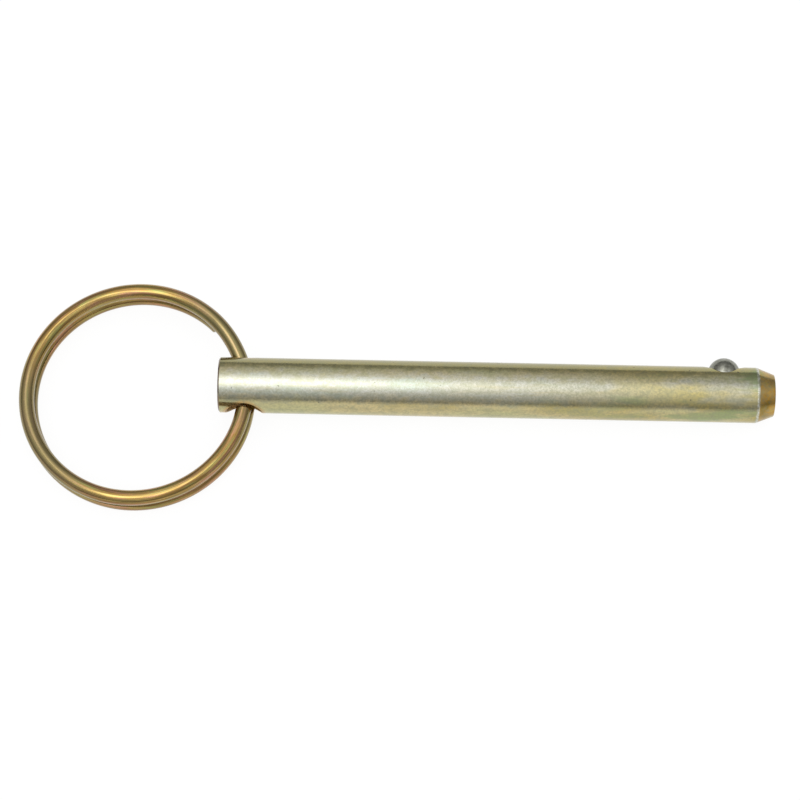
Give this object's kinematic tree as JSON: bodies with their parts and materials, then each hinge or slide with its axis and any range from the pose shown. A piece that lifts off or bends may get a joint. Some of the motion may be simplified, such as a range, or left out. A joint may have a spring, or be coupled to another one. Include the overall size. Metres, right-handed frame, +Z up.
{
  "type": "ball detent pin",
  "caption": "Quick-release detent pin: a plain plated steel shank with a tapered tip, a sprung ball behind it, and a split pull ring through a cross hole at the other end.",
  "frame": {"origin": "on the pin's axis, halfway along its grip, the plain length between the ring's hole and the ball's staked dish", "axes": "+X along the pin towards its tapered tip, +Z up as the pin lies on a flat surface"},
  "size_m": [0.1294, 0.0403, 0.0096],
  "materials": {
    "pin_plating": "satin",
    "ring_plating": "gloss",
    "ball_steel": "gloss",
    "spring_steel": "satin"
  },
  "bodies": {
    "pin": {"pin_body": "pin_plating", "detent_spring": "spring_steel"},
    "ball": {"detent_ball": "ball_steel"},
    "ring": {"split_ring": "ring_plating"}
  },
  "joints": [
    {"name": "ball_press", "type": "slide", "parent": "pin", "child": "ball", "axis": [0, 0.9397, 0.342], "range_m": [-0.0016, 0], "stiffness_N_per_m": 1500, "springref_m": 0.001, "deforming": ["detent_spring"]},
    {"name": "ring_swing", "type": "hinge", "parent": "pin", "child": "ring", "pos_m": [-0.04091, 0, -0.0009], "axis": [0, 1, 0], "range_deg": [-165, 165]}
  ]
}
